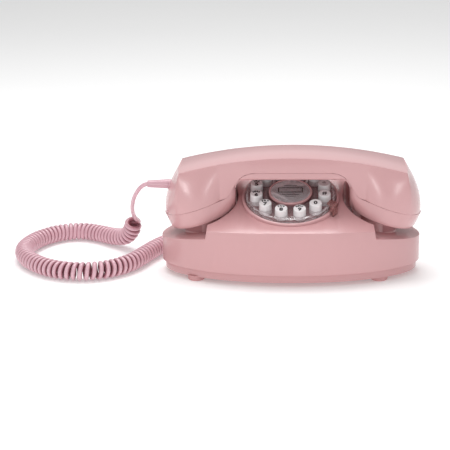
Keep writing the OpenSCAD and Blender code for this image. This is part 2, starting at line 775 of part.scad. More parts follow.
// Closed solid of the upper shell's outside (inset 0) or of its hollow.
module shell_form(inset, drop) {
    st = stations();
    n = len(st);
    m = rows + 2;
    right = [for (s = st) shell_column(s, inset, drop)];
    // columns run from the left end to the right end; the last on each side lies on y = 0
    cols = concat([for (i = [n - 1 : -1 : 1]) [for (p = right[i]) [-p[0], p[1], p[2]]]], right);
    c = len(cols);
    front = [for (col = cols) for (p = col) p];
    back = [for (i = [1 : c - 2]) for (p = cols[i]) [p[0], -p[1], p[2]]];
    polyhedron(concat(front, back), concat(
        [for (i = [0 : c - 2]) for (j = [0 : m - 2])
            [at_front(i, j, m), at_front(i + 1, j, m), at_front(i + 1, j + 1, m), at_front(i, j + 1, m)]],
        [for (i = [0 : c - 2]) for (j = [0 : m - 2])
            [at_back(i, j, m, c), at_back(i, j + 1, m, c),
                at_back(i + 1, j + 1, m, c), at_back(i + 1, j, m, c)]],
        [for (i = [0 : c - 2]) [at_front(i, 0, m), at_back(i, 0, m, c), at_back(i + 1, 0, m, c),
            at_front(i + 1, 0, m)]],
        [for (i = [0 : c - 2]) [at_front(i, m - 1, m), at_front(i + 1, m - 1, m),
            at_back(i + 1, m - 1, m, c), at_back(i, m - 1, m, c)]]), convexity = 6);
}
function at_front(i, j, m) = i * m + j;
function at_back(i, j, m, c) = i == 0 || i == c - 1 ? i * m + j : c * m + (i - 1) * m + j;

// Everything above (up = 1) or below (up = -1) the seam, moved off it by off.
module seam_side(up, off) {
    line = seam_line(130);
    n = len(line);
    mid = [for (i = [n - 1 : -1 : 1]) [-line[i][0], line[i][1]]];
    rotate([90, 0, 0]) linear_extrude(120, center = true)
        translate([0, up * off]) polygon(concat(mid, line, [[130, up * 90], [-130, up * 90]]));
}

handle_half = seam_join - 8.7;
under_front_r = 2.5;
under_back_r = 6;
under_hollow_r = 110;
under_hollow = 1.1;
cove_r = 8;
cove_half_w = 19;

// Outside of one cup below the seam, and of its inner wall up to the handle.
module cup_form(side, inset) {
    hull() {
        in_cup(side) {
            translate([0, 0, -0.1]) cylinder(r = cup_r - inset, h = 1.6, $fn = 72);
            translate([0, 0, 3.6 - cap_depth + inset]) cylinder(r = cup_r - 0.9 - inset, h = 0.1, $fn = 72);
            translate([0, 0, 1.1 - cap_depth + inset]) cylinder(r = cup_r - 1.9 - inset, h = 0.1, $fn = 72);
            translate([0, 0, -cap_depth + inset]) cylinder(r = cup_r - 4.4 - inset, h = 0.1, $fn = 72);
        }
        // the wall towards the handle
        for (y = [-1, 1]) translate([side * neck_x, y * neck_y, ring_z(seam_join)])
            cylinder(r = neck_r - inset, h = neck_h - inset, $fn = 32);
    }
}

// The handle's lower strip with its hollowed underside and the coves into the cups.
module handle_form(inset) {
    w = hand_seam_w - inset;
    rotate([90, 0, 90]) linear_extrude(2 * handle_half, center = true) difference() {
        hull() {
            translate([under_front_r - w, hand_under + inset + under_front_r])
                circle(r = under_front_r, $fn = 40);
            translate([w - under_back_r, hand_under + inset + under_back_r])
                circle(r = under_back_r, $fn = 64);
            translate([-w, hand_seam + 1]) square([2 * w, 3]);
        }
        translate([0, hand_under + inset + under_hollow - under_hollow_r])
            circle(r = under_hollow_r, $fn = 360);
    }
    for (side = [-1, 1]) rotate([90, 0, 0]) linear_extrude(2 * (cove_half_w - inset), center = true)
        difference() {
            cove_x = handle_half - cove_r - 0.2;
            translate([side > 0 ? cove_x - 0.6 : -handle_half - 0.6, hand_under + 1 - cove_r])
                square([cove_r + 1.4, cove_r + 1]);
            translate([side * cove_x, hand_under - cove_r + inset]) circle(r = cove_r, $fn = 64);
        }
}

module inner_form(inset) {
    cup_form(-1, inset);
    cup_form(1, inset);
    handle_form(inset);
}

relief_z = 13.8;
hand_screw_x = 38;
hand_boss_r = 3;
hand_boss_z = hand_seam - 2.4;

module handset_shell() {
    color(pink) in_hand() difference() {
        union() {
            intersection() {
                difference() {
                    shell_form(0, 3);
                    shell_form(hand_wall, 8);
                }
                seam_side(1, 0.12);
            }
            for (x = [-hand_screw_x, hand_screw_x]) translate([x, 0, hand_boss_z])
                cylinder(r = hand_boss_r, h = top_z(hand_screw_x) - hand_boss_z - 1.4);
        }
        for (x = [-hand_screw_x, hand_screw_x]) translate([x, 0, hand_seam - 3])
            cylinder(r = 1.2, h = 9);
        translate([-cup_x, 0, relief_z]) rotate([0, -90, 0]) cylinder(r = relief_dia / 2 + 0.15, h = cup_x);
    }
}

module handset_inner_shell() {
    color(pink) in_hand() difference() {
        intersection() {
            difference() {
                inner_form(0);
                difference() {
                    inner_form(hand_wall);
                    for (x = [-hand_screw_x, hand_screw_x]) translate([x, 0, 0]) cylinder(r = 3.4, h = 40);
                }
            }
            seam_side(-1, 0.12);
        }
        for (x = [-hand_screw_x, hand_screw_x]) translate([x, 0, 0]) {
            cylinder(r = 1.45, h = 50);
            translate([0, 0, hand_under - 4]) cylinder(r = 2.7, h = 5.6);
            translate([0, 0, hand_boss_z - 0.2]) cylinder(r = hand_boss_r + 0.2, h = 9);
        }
        in_cup(1) sound_holes([[0, 1], [4.4, 6], [8.6, 12], [12.8, 16]]);
        in_cup(-1) sound_holes([[0, 1], [4.4, 6], [8.6, 12]]);
    }
}

module sound_holes(circles) {
    for (c = circles) for (i = [0 : c[1] - 1]) rotate([0, 0, 360 * i / c[1]])
        translate([c[0], 0, -cap_depth - 1]) cylinder(r = 0.9, h = hand_wall + 2, $fn = 16);
}

receiver_r = 21;
receiver_h = 9;
transmitter_r = 14;
transmitter_h = 8;

module capsule(side, r, h) {
    in_hand() in_cup(side) translate([0, 0, -cap_depth + hand_wall + 0.1]) {
        cylinder(r = r, h = h * 0.6);
        cylinder(r = r - 3, h = h);
    }
}

module receiver() { color("#2f2f33") capsule(1, receiver_r, receiver_h); }
module transmitter() { color("#2f2f33") capsule(-1, transmitter_r, transmitter_h); }

hand_bar = [2 * (hand_screw_x - 9), 18, 6];

module handset_weight() {
    color("#8a8d92") in_hand() translate([-hand_bar[0] / 2, -hand_bar[1] / 2, hand_under + hand_wall + 1.2])
        cube(hand_bar);
}

module handset_screws() {
    color("silver") in_hand() for (x = [-hand_screw_x, hand_screw_x])
        translate([x, 0, hand_under + 0.2]) screw(1.15, 9, 2.5, 1.4);
}

// -- handset cord --------------------------------------------------------------------------

// Smooth points along a route, with steps points to each of its stretches.
function smooth(route, steps) = [for (i = [0 : len(route) - 2]) let (
        a = route[max(i - 1, 0)], b = route[i], c = route[i + 1], d = route[min(i + 2, len(route) - 1)])
    for (j = [0 : steps - (i == len(route) - 2 ? 0 : 1)]) let (t = j / steps)
        0.5 * ((2 * b) + (c - a) * t + (2 * a - 5 * b + 4 * c - d) * t * t
            + (3 * b - a - 3 * c + d) * pow(t, 3))];
function unit(v) = v / norm(v);
function way(pts, i) = unit(pts[min(i + 1, len(pts) - 1)] - pts[max(i - 1, 0)]);
function level(u, t) = unit(u - t * (u * t));
// Sideways directions that are carried along the route without twisting.
function sides_of(pts) = [for (i = 0, u = level([0.3, 1, 0.2], way(pts, 0)); i < len(pts);
    i = i + 1, u = i < len(pts) ? level(u, way(pts, i)) : u) u];

module tube(pts, r, sides) {
    n = len(pts);
    u = sides_of(pts);
    rings = [for (i = [0 : n - 1]) let (t = way(pts, i), v = cross(t, u[i])) for (k = [0 : sides - 1])
        pts[i] + r * (cos(360 * k / sides) * u[i] + sin(360 * k / sides) * v)];
    polyhedron(rings, concat(
        [[for (k = [0 : sides - 1]) k]],
        [for (i = [0 : n - 2]) for (k = [0 : sides - 1]) let (l = (k + 1) % sides)
            [i * sides + k, (i + 1) * sides + k, (i + 1) * sides + l, i * sides + l]],
        [[for (k = [sides - 1 : -1 : 0]) (n - 1) * sides + k]]));
}

// The strain relief leaves the end of the handset's shell here, and ends in its tip.
end_column = [cup_x + cup_r * cos(cup_tilt), 180];
end_top = top_z(hand_half);
end_v = (end_top - relief_z) / (end_top - low_point(end_column, 0, 3)[2]);
relief_out = side_point(end_column, end_v, 0, 3)[0];
relief_tip_at = [hand_shift - relief_out - relief_len, -hand_front - relief_z * sin(hand_lean),
    hand_z + relief_z * cos(hand_lean)];
lead_route = concat([for (i = [0 : 2]) relief_tip_at - [1.1 * i, 0, 0]],
    [[-123.4, -2.8, 73.2], [-126.6, -0.6, 70.1], [-129.4, 3, 65.7], [-132.1, 8, 60.4], [-134.1, 14, 54.2],
    [-135.5, 21, 47.9], [-136, 28.5, 41.9], [-135.7, 35.5, 36.5], [-134.6, 41.5, 31.8],
    [-133.3, 45.5, 28.7], [-132.2, 48, 25.8]]);
coil_route = [[-138, 47, 28], [-140, 51, 20], [-146, 57, 12.5], [-157, 67, 9], [-171, 79, 8.1],
    [-186, 87, 8.1], [-201, 86, 8.1], [-215, 76, 8.1], [-227, 56, 8.1], [-232, 30, 8.1],
    [-226, 5, 8.1], [-210, -18, 8.1], [-192, -31, 8.1], [-174, -35, 8.1], [-158, -32, 8.1],
    [-145, -23, 8.1], [-134, -8, 8.1], [-125, 14, 8.1], [-116, 37, 8.1], [-104, 57, 8.1],
    [-90, 69, 8.1]];
tail_route = [[-90, 69, 8.1], [-84, 73.5, 6.2], [-77, 77, 3.5], [-69, 78.5, 2.2], [-60, 77, 2.2],
    [-53, 73.4, 3.6], [-49, 69.5, 7.2], [-46.8, 65.8, 12.6], [-45.6, 62, 17.8], [-45, 57.5, 20.9],
    [-45, 53, 21.6], [-45, plug_end, 21.6]];

module strain_relief() {
    inside = hand_wall + gap + 5.8;
    color(deep_pink) in_hand() translate([-relief_out + inside, 0, relief_z]) rotate([0, -90, 0]) {
        cylinder(r = relief_dia / 2 + 1.4, h = 1.8);
        cylinder(r = relief_dia / 2, h = inside + 1);
        translate([0, 0, inside + 1]) cylinder(r1 = relief_dia / 2, r2 = relief_tip / 2, h = relief_len - 1);
    }
}

module cord_lead() { color(deep_pink) tube(smooth(lead_route, 2), cord_dia / 2, 8); }
module cord_coil() { color(deep_pink) tube(smooth(coil_route, 2), coil_dia / 2, 12); }
module cord_tail() { color(deep_pink) tube(smooth(tail_route, 2), cord_dia / 2, 8); }

module cord_plug() {
    color(clear) translate([handset_jack_x, 0, board_top]) {
        translate([-plug_w / 2, jack_face - 11.5, mouth_z + 0.2])
            cube([plug_w, plug_end - jack_face + 11.5, plug_h]);
        // latch under the plug
        rotate([90, 0, 90]) linear_extrude(3, center = true)
            polygon([[jack_face - 9, 3.5], [jack_face - 7, 3.5], [jack_face + 1.2, 2.4],
                [jack_face + 1.2, 1.7], [jack_face - 8, 2.7]]);
    }
}

base_plate();
housing();
rubber_feet();
housing_screws();
dial_bezel();
dial_plate();
finger_wheel();
card_holder();
number_card();
card_window();
finger_stop();
key_mat();
key_board();
key_board_screws();
key_1();
key_2();
key_3();
key_4();
key_5();
key_6();
key_7();
key_8();
key_9();
key_0();
key_star();
key_hash();
main_board();
main_board_screws();
hook_switch();
hook_yoke();
hook_plungers();
hook_spring();
handset_jack();
line_jack();
ringer();
ballast_weights();
ringer_switch();
ringer_switch_knob();
tone_switch();
tone_switch_knob();
handset_shell();
handset_inner_shell();
receiver();
transmitter();
handset_weight();
handset_screws();
strain_relief();
cord_lead();
cord_coil();
cord_tail();
cord_plug();
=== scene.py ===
"""Looks of a compact bedroom telephone: an oval base with a sloping key dial, and a handset on a curly cord.

First come the camera and the light, then the finishes, and then the pieces: the cord, the handset's upper
shell, rounded copies of the other mouldings, and the key legends. Points and sizes called millimetres are
turned into metres by MM, and all other lengths are in metres.
"""

import math
from contextlib import contextmanager

import bpy
import numpy as np
from mathutils import Matrix, Vector


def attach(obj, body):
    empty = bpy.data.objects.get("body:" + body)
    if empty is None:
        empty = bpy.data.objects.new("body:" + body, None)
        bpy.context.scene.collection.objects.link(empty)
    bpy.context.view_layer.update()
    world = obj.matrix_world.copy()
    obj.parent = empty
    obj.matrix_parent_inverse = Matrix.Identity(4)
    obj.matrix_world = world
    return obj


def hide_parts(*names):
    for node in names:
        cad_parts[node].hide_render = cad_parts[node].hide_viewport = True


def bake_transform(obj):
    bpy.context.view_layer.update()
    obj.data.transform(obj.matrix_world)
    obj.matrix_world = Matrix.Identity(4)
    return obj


MM = 0.001

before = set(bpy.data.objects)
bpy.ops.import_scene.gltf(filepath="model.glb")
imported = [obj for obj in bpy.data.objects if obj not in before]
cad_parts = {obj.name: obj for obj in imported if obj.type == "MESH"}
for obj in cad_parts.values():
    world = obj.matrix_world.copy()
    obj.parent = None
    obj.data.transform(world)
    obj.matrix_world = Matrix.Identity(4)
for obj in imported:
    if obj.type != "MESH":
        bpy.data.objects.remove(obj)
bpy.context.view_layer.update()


# -- camera and light ----------------------------------------------------------------------

# The camera's place and its right and up directions, then its lens and sensor width in millimetres.
CAMERA_AT = (0.0, -1.15911, 0.35858)
CAMERA_RIGHT = (0.9989529, 0.04409648, -0.01219001)
CAMERA_UP = (0.0, 0.26644625, 0.96384978)
CAMERA_LENS = 114.24
CAMERA_SENSOR = 36

# Each light's name, place, target, width and height, and power in watts.
LIGHTS = [
    ("left_strip", (-0.4, -1.3, 0.2), (0, 0, 0.07), (0.12, 0.34), 1.5),
    ("right_strip", (0.36, -1.35, 0.2), (0, 0, 0.07), (0.15, 0.3), 1.0),
    ("front_softbox", (-0.3, -0.9, 1.25), (0, 0, 0.05), (1.5, 1.1), 3.75),
    ("top_softbox", (-0.15, 0.28, 1.3), (0, 0, 0.05), (1.0, 0.7), 11.5),
    ("back_panel", (0.0, 2.4, 1.25), (0, 0, 0.1), (3.0, 0.9), 3.8),
]
SKY_STRENGTH = 0.4


def add_camera():
    data = bpy.data.cameras.new("camera")
    data.sensor_width = CAMERA_SENSOR
    data.lens = CAMERA_LENS
    data.clip_start = 0.05
    camera = bpy.data.objects.new("camera", data)
    bpy.context.scene.collection.objects.link(camera)
    right = Vector(CAMERA_RIGHT).normalized()
    up = Vector(CAMERA_UP).normalized()
    turn = Matrix((right, up, right.cross(up))).transposed().to_4x4()
    camera.matrix_world = Matrix.Translation(CAMERA_AT) @ turn
    bpy.context.scene.camera = camera


def add_area_light(name, at, target, size, power):
    data = bpy.data.lights.new(name, "AREA")
    data.shape = "RECTANGLE"
    data.size, data.size_y = size
    data.energy = power
    light = bpy.data.objects.new(name, data)
    bpy.context.scene.collection.objects.link(light)
    aim = (Vector(target) - Vector(at)).to_track_quat("-Z", "Y")
    light.matrix_world = Matrix.Translation(at) @ aim.to_matrix().to_4x4()


def add_studio():
    bpy.context.scene.view_settings.view_transform = "Standard"
    for light in LIGHTS:
        add_area_light(*light)
    world = bpy.data.worlds.new("studio")
    bpy.context.scene.world = world
    world.use_nodes = True
    sky = world.node_tree.nodes["Background"]
    sky.inputs["Color"].default_value = (1, 1, 1, 1)
    sky.inputs["Strength"].default_value = SKY_STRENGTH


# -- shader maths --------------------------------------------------------------------------

# The Mix node's colour sockets and its colour result, by their places.
MIX_LOW, MIX_HIGH, MIX_RESULT = 6, 7, 2


class Value:
    """A number on a shader's wire; sums and products of values add Math nodes."""

    def __init__(self, finish, socket):
        self.finish = finish
        self.socket = socket

    def _math(self, operation, *inputs):
        return self.finish.node("ShaderNodeMath", {"operation": operation}, inputs)

    def __add__(self, other):
        return self._math("ADD", self, other)

    def __radd__(self, other):
        return self._math("ADD", other, self)

    def __sub__(self, other):
        return self._math("SUBTRACT", self, other)

    def __rsub__(self, other):
        return self._math("SUBTRACT", other, self)

    def __mul__(self, other):
        return self._math("MULTIPLY", self, other)

    def __rmul__(self, other):
        return self._math("MULTIPLY", other, self)

    def __pow__(self, other):
        return self._math("POWER", self, other)

    def __abs__(self):
        return self._math("ABSOLUTE", self)

    def clamp(self):
        return self.finish.node("ShaderNodeClamp", {}, {"Value": self})

    def step(self, low, high):
        """0 below low, 1 above high, and smooth between them."""
        return self.finish.node(
            "ShaderNodeMapRange",
            {"interpolation_type": "SMOOTHSTEP"},
            {"Value": self, "From Min": low, "From Max": high},
        )

    def band(self, start, full, fade, end):
        """Rises from 0 at start to 1 at full, and falls from fade back to 0 at end."""
        return self.step(start, full) * (1 - self.step(fade, end))

    def within(self, half, blur):
        """1 up to half to either side of 0, and 0 further out."""
        return 1 - abs(self).step(half - blur, half + blur)


class Finish:
    """A material being built: a Principled shader and the nodes that feed it."""

    def __init__(self, name, **fixed):
        self.material = bpy.data.materials.new(name)
        self.material.use_nodes = True
        self.tree = self.material.node_tree
        self.shader = self.tree.nodes["Principled BSDF"]
        for key, value in fixed.items():
            self.shader.inputs[key.replace("_", " ")].default_value = value
        place = self.tree.nodes.new("ShaderNodeTexCoord")
        self.place = Value(self, place.outputs["Object"])

    def set(self, socket, value):
        if isinstance(value, Value):
            self.tree.links.new(value.socket, socket)
        else:
            socket.default_value = value

    def node(self, kind, settings, inputs, output=0):
        made = self.tree.nodes.new(kind)
        for key, value in settings.items():
            setattr(made, key, value)
        pairs = inputs.items() if isinstance(inputs, dict) else enumerate(inputs)
        for key, value in pairs:
            self.set(made.inputs[key], value)
        return Value(self, made.outputs[output])

    def noise(self, scale, detail=2.0, place=None):
        return self.node(
            "ShaderNodeTexNoise",
            {},
            {"Vector": place or self.place, "Scale": scale, "Detail": detail, "Roughness": 0.5},
        )

    def edge(self):
        """0 where the surface faces the eye, 1 where it is seen edge on."""
        return self.node("ShaderNodeLayerWeight", {}, {"Blend": 0.5}, output="Facing")

    def mix(self, share, low, high):
        """From the low colour at a share of 0 to the high one at 1; a colour is a value or 0 to 255."""
        return self.node(
            "ShaderNodeMix",
            {"data_type": "RGBA"},
            {"Factor": share, MIX_LOW: linear(low), MIX_HIGH: linear(high)},
            output=MIX_RESULT,
        )

    def clouded(self, low, high):
        """Two near colours in soft clouds."""
        return self.mix(self.noise(14, 3), low, high)

    def axis(self, letter, place=None):
        split = self.tree.nodes.new("ShaderNodeSeparateXYZ")
        self.set(split.inputs[0], place or self.place)
        return Value(self, split.outputs[letter])

    def feed(self, name, value):
        self.set(self.shader.inputs[name], value)

    def wandering(self, rough):
        """A roughness that wanders a little over the surface."""
        return rough + 0.04 * self.noise(90)

    def skin(self, scale=1500):
        """The fine grain that a hard surface has close up."""
        normal = self.node(
            "ShaderNodeBump", {}, {"Height": self.noise(scale), "Strength": 0.05, "Distance": 0.0001}
        )
        self.feed("Normal", normal)


def linear(colour):
    """A screen colour, 0 to 255, as the shader's linear colour; a shader value passes through."""
    if isinstance(colour, Value):
        return colour
    part = [c / 255 for c in colour]
    return [c / 12.92 if c <= 0.04045 else ((c + 0.055) / 1.055) ** 2.4 for c in part] + [1.0]


# -- the dial's place ----------------------------------------------------------------------

# The dial's slope, the y and z at which the slope starts, and how far up it the dial's middle lies,
# in millimetres.
DIAL_SLOPE = math.radians(21.2)
DIAL_FRONT = (-54.5, 46.6)
DIAL_ALONG = 49.0


def on_dial(points):
    """From the dial's frame, in millimetres, to the object's, in metres.

    In the dial's frame x points right, y up the slope and z out of the face.
    """
    x, y, z = np.asarray(points, float).T
    c, s = math.cos(DIAL_SLOPE), math.sin(DIAL_SLOPE)
    y = y + DIAL_ALONG
    return np.stack([x, DIAL_FRONT[0] + y * c - z * s, DIAL_FRONT[1] + y * s + z * c], axis=1) * MM


def dial_plane(finish):
    """The surface point's x and y in the dial's frame, in millimetres."""
    turned = finish.node(
        "ShaderNodeMapping",
        {"vector_type": "TEXTURE"},
        {
            "Vector": finish.place,
            "Location": tuple(on_dial([(0, 0, 0)])[0]),
            "Rotation": (DIAL_SLOPE, 0, 0),
            "Scale": (MM, MM, MM),
        },
    )
    return finish.axis("X", turned), finish.axis("Y", turned)


# -- finishes ------------------------------------------------------------------------------

SHELL_LOW = (214, 164, 166)
SHELL_HIGH = (217, 168, 170)

# Each moulded plastic's two near colours, roughness and coat.
PLASTICS = {
    "pink_shell": (SHELL_LOW, SHELL_HIGH, 0.24, 0.5),
    "pink_plate": ((209, 158, 160), (213, 163, 165), 0.3, 0.3),
    "pink_foot": ((206, 152, 154), (212, 160, 161), 0.6, 0.0),
    "cord_vinyl": ((209, 163, 174), (216, 172, 182), 0.3, 0.3),
    "white_key": ((236, 233, 234), (242, 240, 241), 0.22, 0.4),
    "dial_face": ((116, 70, 70), (138, 88, 88), 0.35, 0.1),
    "dark_moulding": ((38, 38, 40), (48, 48, 50), 0.5, 0.0),
    "pale_moulding": ((222, 214, 204), (230, 222, 214), 0.4, 0.0),
    "green_board": ((48, 96, 62), (60, 112, 74), 0.35, 0.2),
    "legend_ink": ((36, 30, 33), (46, 40, 43), 0.5, 0.0),
}

# Each metal's two near colours and roughness.
METALS = {
    "stop_metal": ((168, 140, 138), (190, 164, 160), 0.22),
    "steel": ((160, 162, 165), (190, 192, 194), 0.3),
}

# The resting pads' middles, their radius and the height above which they get painted shade, and how far the
# painted shade fades at each.
PAD_PLACES = [(-0.0765, -0.0035), (0.0801, -0.0035)]
PAD_R, PAD_R_FADE = 0.0152, 0.0003
PAD_Z, PAD_Z_FADE = 0.0366, 0.0004
# The deeper pink painted on the pads as the shade under the cups.
PAD_SHADE_PINK = (186, 130, 133)

# The wheel's painted highlights on its rim and on an inner ring, as radii in millimetres where each starts,
# is full, fades and ends.
WHEEL_RIM_HIGHLIGHT = (34.2, 35.4, 36.6, 37.6)
WHEEL_RING_HIGHLIGHT = (19.5, 20.2, 20.8, 21.8)
# How fast the wheel's streaks, which break up its painted highlights and vary its gloss and clearness,
# change round the dial and outwards, per millimetre.
STREAK_ROUND, STREAK_OUT = 0.22, 2.2

# Printing on the card, in millimetres: the middle's height, half the width and half the height.
CARD_PANEL = (2.6, 10.3, 3.5)
CARD_PANEL_INSIDE = (2.6, 9.4, 2.5)
CARD_RULES = [(-3.9, 7.0, 0.4), (-6.4, 4.4, 0.4), (9.0, 5.2, 0.4)]
PRINT_BLUR = 0.08
CARD_INK = (44, 32, 36)


def moulded_plastic(name, low, high, rough, coat):
    """Injection-moulded plastic: barely uneven colour, a fine skin and a soft gloss."""
    finish = Finish(name, Specular_IOR_Level=0.5, Coat_Roughness=0.15, IOR=1.5)
    finish.feed("Base Color", finish.clouded(low, high))
    finish.feed("Roughness", finish.wandering(rough))
    finish.feed("Coat Weight", coat)
    finish.skin()
    return finish.material


def housing_plastic():
    """The shell's plastic, with painted shade, a deeper pink, on the resting pads under the cups."""
    finish = Finish("housing_plastic", Specular_IOR_Level=0.4, Coat_Roughness=0.18, IOR=1.5)
    x, y, z = [finish.axis(letter) for letter in "XYZ"]
    shaded_pads = 0.0
    for middle_x, middle_y in PAD_PLACES:
        reach = ((x - middle_x) ** 2.0 + (y - middle_y) ** 2.0) ** 0.5
        shaded_pads = shaded_pads + (1 - reach.step(PAD_R, PAD_R + PAD_R_FADE))
    shaded_pads = (shaded_pads * z.step(PAD_Z, PAD_Z + PAD_Z_FADE)).clamp()
    shell = finish.clouded(SHELL_LOW, SHELL_HIGH)
    # The pads get painted shade in place of the shell's colour, and a matter surface with less coat.
    finish.feed("Base Color", finish.mix(shaded_pads, shell, PAD_SHADE_PINK))
    finish.feed("Roughness", finish.wandering(0.24) + 0.3 * shaded_pads)
    finish.feed("Coat Weight", 0.3 * (1 - shaded_pads))
    finish.skin()
    return finish.material


def coiled_vinyl():
    """The cord's vinyl, with painted shade, a deeper pink, between the coil's turns."""
    finish = Finish("coil_vinyl", Specular_IOR_Level=0.5, Coat_Roughness=0.12, IOR=1.5)
    facing_for_shade = finish.node("ShaderNodeAttribute", {"attribute_name": "facing_for_shade"}, {}, output="Fac")
    body = finish.clouded((219, 173, 184), (228, 185, 196))
    # Painted shade: the wire turns a deeper pink where it faces its neighbouring turns.
    finish.feed("Base Color", finish.mix(facing_for_shade.step(0.15, 0.94), (174, 112, 124), body))
    finish.feed("Roughness", finish.wandering(0.28))
    finish.feed("Coat Weight", 0.4)
    finish.skin()
    return finish.material


def clear_plastic():
    """Clear moulded plastic: nearly see-through face on, whiter and fuller towards its edges."""
    finish = Finish("clear_plastic", IOR=1.5, Specular_IOR_Level=1.0, Coat_Roughness=0.03)
    haze = finish.noise(40, 3)
    finish.feed("Base Color", finish.mix(haze.step(0.4, 0.6), (226, 212, 215), (244, 236, 238)))
    finish.feed("Roughness", 0.05 + 0.05 * haze)
    finish.feed("Coat Weight", 1.0)
    finish.feed("Alpha", (0.1 + 0.1 * haze + 0.8 * finish.edge() ** 3.0).clamp())
    return finish.material


def wheel_plastic():
    """The finger wheel's clear plastic, with painted highlights in streaks round its rim and, fainter, round
    an inner ring.
    """
    finish = Finish("wheel_plastic", IOR=1.5, Specular_IOR_Level=1.0, Coat_Roughness=0.03)
    x, y = dial_plane(finish)
    reach = (x**2.0 + y**2.0) ** 0.5
    along = finish.node(
        "ShaderNodeCombineXYZ", {}, [STREAK_ROUND * x, STREAK_ROUND * y, STREAK_OUT * reach]
    )
    streak = finish.noise(1.0, place=along)
    # Painted highlights: whiter and less clear in the rim and the inner ring where the streaks run.
    rim_highlight = reach.band(*WHEEL_RIM_HIGHLIGHT) * streak.step(0.42, 0.62)
    ring = reach.band(*WHEEL_RING_HIGHLIGHT) * streak.step(0.45, 0.6)
    painted_highlight = (rim_highlight + 0.35 * ring).clamp()
    finish.feed("Base Color", finish.mix(painted_highlight, (206, 186, 190), (250, 244, 246)))
    finish.feed("Roughness", 0.05 + 0.06 * streak)
    finish.feed("Coat Weight", 1.0)
    finish.feed("Alpha", (0.09 + 0.1 * streak + 0.5 * painted_highlight + 0.55 * finish.edge() ** 4.0).clamp())
    return finish.material


def bright_metal(name, low, high, rough):
    """Bare metal with a fine, uneven grain."""
    finish = Finish(name, Metallic=1.0)
    finish.feed("Base Color", finish.mix(finish.noise(220, 3).step(0.35, 0.65), low, high))
    finish.feed("Roughness", rough + 0.12 * finish.noise(500))
    finish.skin(1200)
    return finish.material


def thin_window():
    """A flat clear disc that lets the card through and keeps its own gloss."""
    finish = Finish("thin_window", Specular_IOR_Level=0.6, IOR=1.5)
    haze = finish.noise(60)
    finish.feed("Base Color", finish.mix(haze.step(0.4, 0.6), (226, 216, 218), (236, 228, 230)))
    finish.feed("Roughness", 0.06 + 0.05 * haze)
    finish.feed("Alpha", 0.08 + 0.05 * haze)
    return finish.material


def printed_card():
    """Speckled card with a blank outlined panel and plain rules."""
    finish = Finish("printed_card", Specular_IOR_Level=0.3)
    fibre = finish.noise(900, 4)
    fleck = finish.noise(2600, 1).step(0.56, 0.66)
    paper = finish.mix(fibre.step(0.3, 0.7), (246, 236, 240), (252, 246, 248))
    speckled = finish.mix(0.35 * fleck, paper, (180, 150, 157))
    x, y = dial_plane(finish)

    def block(middle, half_width, half_height):
        """1 inside a rectangle, 0 outside."""
        return x.within(half_width, PRINT_BLUR) * (y - middle).within(half_height, PRINT_BLUR)

    printed = block(*CARD_PANEL) - block(*CARD_PANEL_INSIDE)
    for rule in CARD_RULES:
        printed = printed + block(*rule)
    finish.feed("Base Color", finish.mix(printed.clamp(), speckled, CARD_INK))
    finish.feed("Roughness", 0.6 + 0.1 * fibre)
    return finish.material


def paper_floor():
    """Pale seamless paper that lifts its own shadows a little."""
    finish = Finish("paper_floor", Specular_IOR_Level=0.1)
    cloud = finish.noise(3)
    finish.feed("Base Color", 0.93 + 0.02 * cloud)
    finish.feed("Roughness", 0.9 + 0.05 * cloud)
    finish.feed("Emission Color", (1, 1, 1, 1))
    finish.feed("Emission Strength", 0.2)
    return finish.material


FINISHES = {
    **{name: moulded_plastic(name, *look) for name, look in PLASTICS.items()},
    **{name: bright_metal(name, *look) for name, look in METALS.items()},
    "housing_shell": housing_plastic(),
    "coil_vinyl": coiled_vinyl(),
    "clear_part": clear_plastic(),
    "clear_wheel": wheel_plastic(),
    "card_cover": thin_window(),
    "card_stock": printed_card(),
    "paper_floor": paper_floor(),
}


# -- mesh helpers --------------------------------------------------------------------------

# Corners of a CAD node this near each other are merged, and faces this nearly level are joined.
SAME_CORNER = 0.02 * MM
SAME_PLANE = math.radians(0.6)


def deselect_all():
    for o in list(bpy.context.selected_objects):
        o.select_set(False)


def alone(piece):
    """Make the piece the only selected and the active object."""
    deselect_all()
    bpy.context.view_layer.objects.active = piece
    piece.select_set(True)


@contextmanager
def editing(piece):
    """The piece in edit mode, with all of its mesh selected."""
    alone(piece)
    bpy.ops.object.mode_set(mode="EDIT")
    bpy.ops.mesh.select_all(action="SELECT")
    yield
    bpy.ops.object.mode_set(mode="OBJECT")


def wear(piece, finish):
    piece.data.materials.clear()
    piece.data.materials.append(FINISHES[finish])
    return piece


def corners_of(piece):
    return np.array([v.co for v in piece.data.vertices])


def move_corners(piece, places):
    for vertex, place in zip(piece.data.vertices, places):
        vertex.co = place


def new_piece(name, points, faces, finish):
    mesh = bpy.data.meshes.new(name)
    mesh.from_pydata([tuple(p) for p in points], [], [tuple(f) for f in faces])
    mesh.update()
    piece = bpy.data.objects.new(name, mesh)
    bpy.context.scene.collection.objects.link(piece)
    return wear(piece, finish)


def cad_copy(node, name, finish):
    """A piece of its own from a CAD node's mesh: loose triangles merged and flat ones joined."""
    source = bpy.data.objects[node]
    piece = source.copy()
    piece.data = source.data.copy()
    piece.name = name
    piece.parent = None
    for key in [k for k in piece.keys() if k.startswith("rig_")]:
        del piece[key]
    piece.hide_render = False
    bpy.context.scene.collection.objects.link(piece)
    piece.matrix_world = Matrix.Identity(4)
    with editing(piece):
        bpy.ops.mesh.remove_doubles(threshold=SAME_CORNER)
        bpy.ops.mesh.dissolve_limited(angle_limit=SAME_PLANE)
    return wear(piece, finish)


def soften(piece, width, angle=30):
    """Round the piece's sharp edges and smooth the rest."""
    bevel = piece.modifiers.new("soft_edges", "BEVEL")
    bevel.width = width
    bevel.segments = 3
    bevel.limit_method = "ANGLE"
    bevel.angle_limit = math.radians(angle)
    alone(piece)
    bpy.ops.object.modifier_apply(modifier=bevel.name)
    bpy.ops.object.shade_smooth_by_angle(angle=math.radians(35))
    return piece


